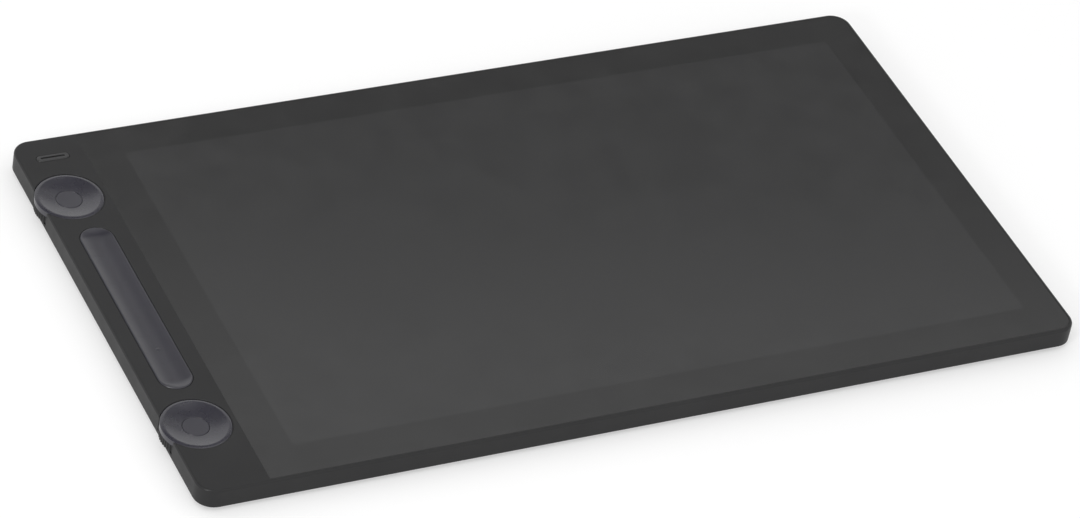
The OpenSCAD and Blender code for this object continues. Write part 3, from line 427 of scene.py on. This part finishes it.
bm = bmesh.new()
levels = [(0, glass_lo.z), (0, glass_hi.z - bevel), (bevel, glass_hi.z)]
rings = [[bm.verts.new((x, y, z)) for x, y in glass_outline(inset)] for inset, z in levels]
for low, high in zip(rings, rings[1:]):
    band(bm, low, high)
bm.faces.new(rings[0][::-1])
window_corners = flat_corners(picture_lo.x, picture_hi.x, picture_lo.y, picture_hi.y, glass_hi.z)
window = [bm.verts.new(corner) for corner in window_corners]
flat = rings[-1] + window
for a, b, c in geometry.tessellate_polygon([[v.co for v in rings[-1]], [v.co for v in window]]):
    bm.faces.new((flat[a], flat[b], flat[c]))
picture = bm.faces.new(window)
picture.material_index = 1
cover_glass = new_piece("cover_glass", bm, [border_print, picture_glass], "chassis", smooth=False)
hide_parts("front_glass")
print("picture is", [round(v / MM, 1) for v in (picture_hi - picture_lo)], "mm")

# %% [markdown]
# The thin gap round the glass is filled with a dark glue line just under the surface. Without it the gap
# would read as a black scratch round the screen; on the real tablet the seam is hard to see at all.

# %% Lay the glue line
glue = grained("glue_line", (0.010, 0.010, 0.010), (0.016, 0.016, 0.016),
               gloss=(0.4, 0.5), grain_mm=0.2, depth_mm=0.004, drift_mm=10, specular=0.3)
glue_gap = 0.1 * MM
glue_top = glass_hi.z - 0.04 * MM
glue_low = glass_hi.z - 0.5 * MM
glue_section = ((0, glue_low), (-glue_gap, glue_low), (-glue_gap, glue_top), (0, glue_top))
bm = bmesh.new()
loops = [[bm.verts.new((x, y, z)) for x, y in glass_outline(inset)] for inset, z in glue_section]
for low, high in zip(loops, loops[1:] + loops[:1]):
    band(bm, low, high)
glue_line = new_piece("glue_line", bm, [glue], "chassis", smooth=False)
print("glue line is", round(glue_gap / MM, 2), "mm wide")

# %% [markdown]
# ## Dials
#
# Each dial is a cap with a shallow dish for a fingertip, over a dark rubber ring with ribs for the thumb.
# Its rim is rolled over and lies nearly flush with the deck. It stands out through a gap in the side wall, so
# it can be turned from the edge. Such a cap is moulded, then painted in a satin grey with a hint of violet.
# The cap has a lathe shape, so it is spun from its half section; all edges get a small round.
# The paint keeps the fine rings of the turned mould. At a scale of 1 a wave texture repeats every 0.314 m,
# and the scale for the rings follows from that.

# %% Satin paint with fine turning rings
paint_tone_mm, paint_gloss_mm = 14, 5
ring_pitch_mm = 0.25
wave_unit = 0.314


def spun_satin(name, dark, light, gloss, ring_depth_mm, specular):
    paint, tree, shader, place = new_finish(name)
    drift = noise(tree, place, paint_tone_mm)
    tree.links.new(tone_ramp(tree, drift, dark, light), shader.inputs["Base Color"])
    tree.links.new(spread(tree, noise(tree, place, paint_gloss_mm), *gloss), shader.inputs["Roughness"])
    shader.inputs["Specular IOR Level"].default_value = specular
    turning = tree.nodes.new("ShaderNodeTexWave")
    turning.wave_type = "RINGS"
    turning.rings_direction = "Z"
    turning.inputs["Scale"].default_value = wave_unit / (ring_pitch_mm * MM)
    turning.inputs["Distortion"].default_value = 1.0
    tree.links.new(place, turning.inputs["Vector"])
    bend(tree, turning.outputs["Fac"], ring_depth_mm, shader, 0.5)
    return paint


dial_satin = spun_satin("dial_satin", (0.0085, 0.0075, 0.0170), (0.0110, 0.0098, 0.0210),
                        gloss=(0.26, 0.30), ring_depth_mm=0.0012, specular=0.96)
button_satin = spun_satin("button_satin", (0.0090, 0.0080, 0.0175), (0.0112, 0.0100, 0.0212),
                          gloss=(0.28, 0.32), ring_depth_mm=0.0010, specular=0.87)
grip_rubber = grained("grip_rubber", (0.0100, 0.0100, 0.0104), (0.0140, 0.0140, 0.0144),
                      gloss=(0.45, 0.55), grain_mm=0.2, depth_mm=0.01, drift_mm=8, specular=0.4)
print("dial finishes:", dial_satin.name, button_satin.name, grip_rubber.name)

# %% Spin a half section
def circle(bm, radius, z, steps):
    turns = [math.tau * i / steps for i in range(steps)]
    return [bm.verts.new((radius * MM * math.cos(t), radius * MM * math.sin(t), z * MM)) for t in turns]


def spin(bm, profile, steps):
    rings = [circle(bm, r, z, steps) if r else [bm.verts.new((0, 0, z * MM))] for r, z in profile]
    for low, high in zip(rings, rings[1:]):
        if len(low) == len(high):
            band(bm, low, high)
            continue
        for i in range(steps):
            j = (i + 1) % steps
            if len(low) == 1:
                bm.faces.new((low[0], high[i], high[j]))
            else:
                bm.faces.new((low[i], low[j], high[0]))


def arc(cx, cz, radius, first, last, steps=6):
    turns = [math.radians(first + (last - first) * i / steps) for i in range(steps + 1)]
    return [(cx + radius * math.cos(t), cz + radius * math.sin(t)) for t in turns]


dial_radius = 15.2
dial_top = 11.95
band_low = 8.95
grip_low = 4.9
dish_depth = 2.2
dish_rim = 13.5
dish_sphere = (dish_rim ** 2 + dish_depth ** 2) / (2 * dish_depth)
dish_middle = dial_top - dish_depth + dish_sphere
rim_roll = 3.6
hole_radius = 5.82
cap_under = 8.46


def dish_height(r):
    return dish_middle - math.sqrt(dish_sphere ** 2 - r ** 2)


hole_edge = dish_height(hole_radius)
hole_edge_points = ((0, -0.12), (0.04, -0.03))
dish_radii = [5.95 + 0.4 * i for i in range(19)] + [13.3, 13.42]
roll_turn = math.degrees(math.asin((dial_radius - dish_rim) / rim_roll))
roll_first, roll_last = 89, 92 - roll_turn
edge_round = 0.15
skirt_radius = 13.3
cap_profile = [(hole_radius, cap_under)]
cap_profile += [(hole_radius + out, hole_edge + rise) for out, rise in hole_edge_points]
cap_profile += [(r, dish_height(r)) for r in dish_radii]
cap_profile += arc(dish_rim, dial_top - rim_roll, rim_roll, roll_first, roll_last, 12)
rim_edge = cap_profile[-1][1] - edge_round
cap_profile += arc(dial_radius - edge_round, rim_edge, edge_round, 60, 0, 4)
cap_profile += [(dial_radius, band_low + edge_round), (dial_radius - edge_round, band_low),
                (skirt_radius, band_low), (skirt_radius, cap_under), (hole_radius, cap_under)]

button_radius = 5.7
button_top = 10.25
button_low = 9.4
button_round = 0.3
button_hollow = 0.10
hollow_reach = 5.2
button_profile = [(0, button_low), (button_radius, button_low)]
button_profile += arc(button_radius - button_round, button_top - button_round, button_round, 0, 90)
button_profile += [(r, button_top - button_hollow * (1 - (r / hollow_reach) ** 2))
                   for r in (hollow_reach, 4.2, 3.2, 2.2, 1.2, 0)]
print("cap section has", len(cap_profile), "points, button", len(button_profile))

# %% Build the two dials
rib_count = 60
rib_depth = 0.45
grip_bore = 13.95
grip_chamfer = 0.35
grip_top, grip_shoulder = band_low - 0.05, 0.2


def ribbed_ring(bm, steps_per_rib=8):
    steps = rib_count * steps_per_rib
    heights = [(grip_low, grip_chamfer), (grip_low + grip_chamfer, 0),
               (grip_top - grip_shoulder, 0), (grip_top, grip_shoulder)]
    rings = []
    for z, inset in heights:
        ring = []
        for i in range(steps):
            turn = math.tau * i / steps
            wave = 0.5 + 0.5 * math.cos(rib_count * turn)
            crest = min(1, max(0, (wave - 0.25) / 0.5))
            r = dial_radius - inset - rib_depth * (1 - crest)
            ring.append(bm.verts.new((r * MM * math.cos(turn), r * MM * math.sin(turn), z * MM)))
        rings.append(ring)
    rings += [circle(bm, grip_bore, z, steps) for z in (grip_top, grip_low)] + [rings[0]]
    for low, high in zip(rings, rings[1:]):
        band(bm, low, high)


def dial_axis(end):
    lo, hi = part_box("dial_cap_" + end)
    return Vector(((lo.x + hi.x) / 2, (lo.y + hi.y) / 2, 0))


for end in ("back", "front"):
    axis = dial_axis(end)
    bm = bmesh.new()
    spin(bm, cap_profile, 160)
    cap = new_piece("dial_dish_" + end, bm, [dial_satin], end + "_dial")
    bm = bmesh.new()
    ribbed_ring(bm)
    grip = new_piece("grip_ring_" + end, bm, [grip_rubber], end + "_dial")
    bm = bmesh.new()
    spin(bm, button_profile, 96)
    button = new_piece("press_disc_" + end, bm, [button_satin], end + "_dial_button")
    for piece, node, slot in ((cap, "dial_cap_", "control_plastic"), (grip, "dial_grip_", "grip_rubber"),
                              (button, "dial_button_", "control_plastic")):
        piece.location = axis
        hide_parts(node + end)
    print(end, "dial turns about", [round(v / MM, 1) for v in axis[:2]], "mm")

# %% [markdown]
# The dial runs in a round pocket with a gap of a few tenths. A felt seal lies in that gap, just under the
# deck, and keeps dust out. It ends where the pocket opens through the wall.

# %% Lay the dust seals
seal_felt = grained("seal_felt", (0.0290, 0.0290, 0.0295), (0.0350, 0.0350, 0.0355),
                    gloss=(0.7, 0.8), grain_mm=0.12, depth_mm=0.02, drift_mm=3, specular=0.2)
seal_inner, seal_outer = 15.24, 15.49
seal_low, seal_top = 11.3, 11.8
seal_section = ((seal_inner, seal_low), (seal_outer, seal_low),
                (seal_outer, seal_top), (seal_inner, seal_top))
seal_reach = 140
seal_steps = 120
for end in ("back", "front"):
    bm = bmesh.new()
    loops = []
    for i in range(seal_steps + 1):
        turn = math.radians(seal_reach * (2 * i / seal_steps - 1))
        loops.append([bm.verts.new((r * MM * math.cos(turn), r * MM * math.sin(turn), z * MM))
                      for r, z in seal_section])
    for first, second in zip(loops, loops[1:]):
        band(bm, first, second)
    bm.faces.new(loops[0])
    bm.faces.new(loops[-1][::-1])
    seal = new_piece("dust_seal_" + end, bm, [seal_felt], "chassis", smooth=False)
    seal.location = dial_axis(end)
    print(end, "seal covers", 2 * seal_reach, "degrees")

# %% [markdown]
# ## Keys
#
# Six keys lie end to end in one sunk trough, and their tops are scooped as one long dish, so that a finger
# finds the row without a look. On a real tablet they are moulded together and cut apart, which is why the
# gaps between them are so fine. Each top is a grid that follows the scoop: an arc across the row that gets a
# little shallower towards both ends and runs out there in a rounded tip. The outer lip is rounded over.

# %% Shape of the scoop
key_satin = grained("key_satin", (0.0090, 0.0080, 0.0165), (0.0112, 0.0100, 0.0200),
                    gloss=(0.31, 0.36), grain_mm=0.25, depth_mm=0.003, drift_mm=12, specular=0.84)
row_lo, row_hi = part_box("key_3")
row_x = (row_lo.x + row_hi.x) / 2 / MM
row_straight = 46.0
row_half = 7.68
row_low = 10.4
row_crest = 12.1
lip_round = 0.8
scoop_half = 7.12
scoop_depth = row_crest - row_low
row_end = row_straight + row_half
shallower = 0.15
tip_start = 1.5
tip_blend = 0.3
key_foot = 8.3
cut_round = 0.03
cut_steps = (0, 0.006, 0.014, 0.03, 0.06)
scoop_offs = [0.5 * i for i in range(14)]
lip_offs = [6.75, 6.9, 6.98, 7.04, 7.08, 7.12, 7.17, 7.23, 7.3, 7.38, 7.46, 7.53, 7.59, 7.63, 7.66, row_half]
across = scoop_offs + lip_offs


def arc_rise(off, reach, depth):
    radius = (reach ** 2 + depth ** 2) / (2 * depth)
    return radius - math.sqrt(radius ** 2 - min(off, reach) ** 2)


def key_height(off, y, turn=0.0):
    depth = scoop_depth * (1 - shallower * (y / row_end) ** 2)
    rise = arc_rise(off * abs(math.cos(turn)), scoop_half, depth)
    if turn:
        tip = arc_rise(max(0, off - tip_start), scoop_half - tip_start, depth)
        begun = min(1, off / (2 * tip_start))
        blend = tip_blend * math.sin(turn) * begun ** 2 * (3 - 2 * begun) + 1e-6
        rise = max(rise, tip) + max(blend - abs(rise - tip), 0) ** 2 / (4 * blend)
    out = max(0, off - (row_half - lip_round))
    lip = row_crest - lip_round + math.sqrt(max(0, lip_round ** 2 - out ** 2))
    return min(row_crest - depth + rise, lip)


def cut_drop(gap):
    return 0 if gap >= cut_round else cut_round - math.sqrt(cut_round ** 2 - (cut_round - gap) ** 2)


end_depth = row_crest - key_height(0, row_straight)
print("scoop is", round(scoop_depth, 2), "mm deep in the middle,", round(end_depth, 2), "mm near the ends")

# %% Build the keys
same_place = 1e-8
weld_within = 1e-7
key_rows = 12
tip_steps = 48
cut_closed = 0.055


def strip_rows(bm, lines):
    made = [[bm.verts.new(((row_x + x) * MM, y * MM, z * MM)) for x, y, z in line] for line in lines]
    for first, second in zip(made, made[1:]):
        apart = [(a.co - b.co).length for a, b in zip(first, second)]
        for i in range(len(first) - 1):
            if apart[i] + apart[i + 1] > same_place:
                corners = (first[i], first[i + 1], second[i + 1], second[i])
                bm.faces.new(corners if apart[i] > same_place else corners[:3])


def build_key(y0, y1, near_end, far_end):
    bm = bmesh.new()
    rows = [y0 + (y1 - y0) * i / key_rows for i in range(1, key_rows)]
    rows = ([y0] if near_end else [y0 + e for e in cut_steps]) + rows
    rows += [y1] if far_end else [y1 - e for e in reversed(cut_steps)]
    offs = [-o for o in reversed(across[1:])] + across
    lines = []
    for y in rows:
        gap = min(cut_round if near_end else y - y0, cut_round if far_end else y1 - y)
        lines.append([(o, y, key_height(abs(o), y) - cut_drop(gap)) for o in offs])
    strip_rows(bm, lines)
    for is_end, y, sign in ((near_end, y0, -1), (far_end, y1, 1)):
        if is_end:
            lines = []
            for t in [math.pi * i / tip_steps for i in range(tip_steps + 1)]:
                along = [y + sign * o * math.sin(t) for o in across]
                lines.append([(o * math.cos(t), v, key_height(o, v, t)) for o, v in zip(across, along)])
            strip_rows(bm, lines)
    bmesh.ops.remove_doubles(bm, verts=bm.verts, dist=weld_within)
    rim = [e for e in bm.edges if e.is_boundary]
    walls = bmesh.ops.extrude_edge_only(bm, edges=rim)["geom"]
    for v in walls:
        if isinstance(v, bmesh.types.BMVert):
            v.co.z = key_foot * MM
    bmesh.ops.holes_fill(bm, edges=[e for e in bm.edges if e.is_boundary])
    return bm


key_names = ["key_" + str(i) for i in range(1, 7)]
for name in key_names:
    lo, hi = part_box(name)
    y0, y1 = lo.y / MM - cut_closed, hi.y / MM + cut_closed
    near_end, far_end = name == key_names[-1], name == key_names[0]
    if near_end:
        y0 = -row_straight
    if far_end:
        y1 = row_straight
    bm = build_key(y0, y1, near_end, far_end)
    key = new_piece("soft_" + name, bm, [key_satin], name + "_cap")
    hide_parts(name)
    print(name, "from", round(y0, 2), "to", round(y1, 2), "mm along the row")

# %% [markdown]
# ## The tactile nub
#
# One key carries a low dome, as the F and J keys of a keyboard do, so the hand can find its place.

# %% Build the nub
nub_lo, nub_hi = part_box("key_5")
nub_profile = [(0, 0.35), (0.35, 0.34), (0.65, 0.29), (0.9, 0.19), (1.1, 0.06), (1.25, -0.1), (0, -0.1)]
bm = bmesh.new()
spin(bm, nub_profile, 32)
nub = new_piece("key_nub", bm, [key_satin], "key_5_cap")
nub_y = (nub_lo.y + nub_hi.y) / 2
nub.location = (row_x * MM, nub_y, key_height(0, nub_y / MM) * MM)
print("nub stands", nub_profile[0][1], "mm high")

# %% [markdown]
# ## Power button
#
# A small oblong button with a dark slit in its middle. The slit is a smoked window: a lamp under it shows
# that the tablet is on, and here it is off, so the window is only darker and glossier than the button.

# %% Finish the power button
power_satin = grained("power_satin", (0.0120, 0.0118, 0.0130), (0.0145, 0.0143, 0.0155),
                      gloss=(0.30, 0.36), grain_mm=0.2, depth_mm=0.003, drift_mm=6, specular=0.72)
window_plastic = grained("window_plastic", (0.0060, 0.0060, 0.0066), (0.0085, 0.0085, 0.0092),
                         gloss=(0.14, 0.20), grain_mm=0.4, depth_mm=0.0006, drift_mm=3, specular=0.6)
dress(power_satin, "power_button")
dress(window_plastic, "power_light")

# %% [markdown]
# ## Feet and screws
#
# Two rubber strips keep the tablet from sliding. They are moulded in a soft black rubber with a dull skin.
# The cover is held by black-plated steel screws with a cross recess, sunk so that they don't scratch the
# desk.

# %% Rubber and plated steel
foot_rubber = grained("foot_rubber", (0.0065, 0.0065, 0.0065), (0.0100, 0.0098, 0.0096),
                      gloss=(0.75, 0.88), grain_mm=0.35, depth_mm=0.03, drift_mm=10, specular=0.2)
screw_steel = grained("screw_steel", (0.030, 0.030, 0.032), (0.055, 0.055, 0.058),
                      gloss=(0.30, 0.45), grain_mm=0.15, depth_mm=0.003, drift_mm=2, metallic=1.0)
dress(foot_rubber, "rubber_feet")
dress(screw_steel, "cover_screws", "plate_screws", "board_screws", "guide_screws")

# %% [markdown]
# ## Sockets
#
# The two sockets in the right wall are drawn from thin stainless sheet, with a black tongue inside that
# carries gold contacts on both faces. The tongue belongs to the same CAD piece, so its faces are picked out
# by their place and get a finish of their own. The contacts are new pieces: twelve thin strips on each
# face, bent down at the front so that a plug slides over them.

# %% Sheet steel and gold
sheet_steel = grained("sheet_steel", (0.42, 0.42, 0.43), (0.55, 0.55, 0.56),
                      gloss=(0.26, 0.38), grain_mm=0.2, depth_mm=0.002, drift_mm=3, metallic=1.0)
contact_gold = grained("contact_gold", (0.62, 0.42, 0.13), (0.78, 0.55, 0.20),
                       gloss=(0.22, 0.30), grain_mm=0.1, depth_mm=0.001, drift_mm=1.5, metallic=1.0)
black_plastic = grained("black_plastic", (0.010, 0.010, 0.010), (0.018, 0.018, 0.018),
                        gloss=(0.45, 0.6), grain_mm=0.2, depth_mm=0.006, drift_mm=4)
dress(sheet_steel, "usb_c_port_back", "usb_c_port_front", "shield_can", "backlight_tray")

# %% Pick out the tongues and lay the contacts
tongue_half_high = 0.4 * MM
tongue_half_wide = 4.0 * MM
port_back = 1.05 * MM
contact_count = 12
contact_pitch = 0.5 * MM
contact_width = 0.26 * MM
contact_front, contact_back = 1.4 * MM, 4.8 * MM
contact_low, contact_top = 0.32 * MM, 0.38 * MM
contact_nose = 0.3 * MM


def contact_strip(bm, mouth_x, y, z, face):
    section = [(contact_back, contact_low), (contact_front, contact_low),
               (contact_front, (contact_low + contact_top) / 2),
               (contact_front + contact_nose, contact_top), (contact_back, contact_top)]
    near, far = ([bm.verts.new((mouth_x - depth, y + side * contact_width / 2, z + face * rise))
                  for depth, rise in section] for side in (-1, 1))
    bm.faces.new(near)
    bm.faces.new(far[::-1])
    for i in range(len(section)):
        bm.faces.new((near[i - 1], far[i - 1], far[i], near[i]))


for end in ("back", "front"):
    lo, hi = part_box("usb_c_port_" + end)
    mid_y, mid_z = (lo.y + hi.y) / 2, (lo.z + hi.z) / 2
    port = nodes["usb_c_port_" + end]
    port.data.materials.append(black_plastic)
    for face in port.data.polygons:
        middle = port.matrix_world @ face.center
        if (middle.x > lo.x + port_back and abs(middle.z - mid_z) < tongue_half_high
                and abs(middle.y - mid_y) < tongue_half_wide):
            face.material_index = 1
    bm = bmesh.new()
    for face in (-1, 1):
        for i in range(contact_count):
            contact_strip(bm, hi.x, mid_y + (i - (contact_count - 1) / 2) * contact_pitch, mid_z, face)
    contacts = new_piece("socket_contacts_" + end, bm, [contact_gold], "chassis", smooth=False)
    print("contacts in the", end, "socket:", 2 * contact_count)

# %% [markdown]
# ## What is inside
#
# None of these pieces shows while the tablet is closed, but each has the finish of the real one, so that an
# opened or exploded view reads correctly: green boards with copper under the lacquer, amber flat cables with
# copper lines, a clear light guide with printed dots and plates of steel and aluminium.

# %% Boards and flat cables
def lined(name, dark, light, pitch_mm, gloss, direction="X"):
    paint, tree, shader, place = new_finish(name)
    lines = tree.nodes.new("ShaderNodeTexWave")
    lines.bands_direction = direction
    lines.inputs["Scale"].default_value = wave_unit / (pitch_mm * MM)
    lines.inputs["Distortion"].default_value = 0.4
    tree.links.new(place, lines.inputs["Vector"])
    tree.links.new(tone_ramp(tree, lines.outputs["Fac"], dark, light, 0.45, 0.6), shader.inputs["Base Color"])
    tree.links.new(spread(tree, noise(tree, place, 2), *gloss), shader.inputs["Roughness"])
    bend(tree, lines.outputs["Fac"], 0.01, shader, 0.4)
    return paint


board_lacquer = lined("board_lacquer", (0.008, 0.045, 0.022), (0.018, 0.095, 0.045), 1.3, (0.28, 0.4))
dress(board_lacquer, "main_board", "control_board", "digitizer_board")
flex_film = lined("flex_film", (0.26, 0.11, 0.02), (0.48, 0.22, 0.05), 0.5, (0.3, 0.42), "Y")
dress(flex_film, "display_flex", "control_flex")

# %% Display stack
panel_glass = grained("panel_glass", (0.006, 0.007, 0.009), (0.012, 0.013, 0.016),
                      gloss=(0.10, 0.16), grain_mm=0.3, depth_mm=0.0005, drift_mm=50)
dress(panel_glass, "display_panel")


def dotted_clear(name, dot_mm, dot_tone, clear_tone):
    paint, tree, shader, place = new_finish(name)
    dots = tree.nodes.new("ShaderNodeTexVoronoi")
    dots.inputs["Scale"].default_value = 1 / (dot_mm * MM)
    tree.links.new(place, dots.inputs["Vector"])
    tone = tone_ramp(tree, dots.outputs["Distance"], dot_tone, clear_tone, 0.2, 0.3)
    tree.links.new(tone, shader.inputs["Base Color"])
    tree.links.new(spread(tree, dots.outputs["Distance"], 0.45, 0.08), shader.inputs["Roughness"])
    shader.inputs["Transmission Weight"].default_value = 0.7
    return paint


clear_plastic = dotted_clear("clear_plastic", 1.2, (0.92, 0.93, 0.94), (0.74, 0.80, 0.82))
dress(clear_plastic, "light_guide")

pale_plastic = grained("pale_plastic", (0.66, 0.63, 0.54), (0.76, 0.73, 0.64),
                       gloss=(0.4, 0.5), grain_mm=0.3, depth_mm=0.004, drift_mm=4)
dress(pale_plastic, "light_bar", "flex_connectors", "digitizer_connector", "power_led")

# %% Plates, switches and dial works
sheet_aluminium = grained("sheet_aluminium", (0.58, 0.58, 0.59), (0.70, 0.70, 0.71),
                          gloss=(0.32, 0.46), grain_mm=0.4, depth_mm=0.004, drift_mm=20, metallic=1.0)
dress(sheet_aluminium, "shield_plate", "mid_plate")
dress(black_plastic, "key_switches", "power_switch", "dial_switches", "hall_sensors", "key_guide",
      "glass_tape")
magnet_plate = grained("magnet_plate", (0.20, 0.20, 0.21), (0.32, 0.32, 0.33),
                       gloss=(0.25, 0.4), grain_mm=0.12, depth_mm=0.003, drift_mm=3, metallic=1.0)
dress(magnet_plate, "dial_magnet_back", "dial_magnet_front")
bearing_plastic = grained("bearing_plastic", (0.14, 0.14, 0.15), (0.19, 0.19, 0.20),
                          gloss=(0.35, 0.45), grain_mm=0.2, depth_mm=0.003, drift_mm=4)
dress(bearing_plastic, "spindle_back", "spindle_front")
spring_steel = grained("spring_steel", (0.46, 0.44, 0.36), (0.58, 0.55, 0.46),
                       gloss=(0.2, 0.32), grain_mm=0.1, depth_mm=0.001, drift_mm=2, metallic=1.0)
dress(spring_steel, "spindle_clip_back", "spindle_clip_front", "detent_spring_back", "detent_spring_front")
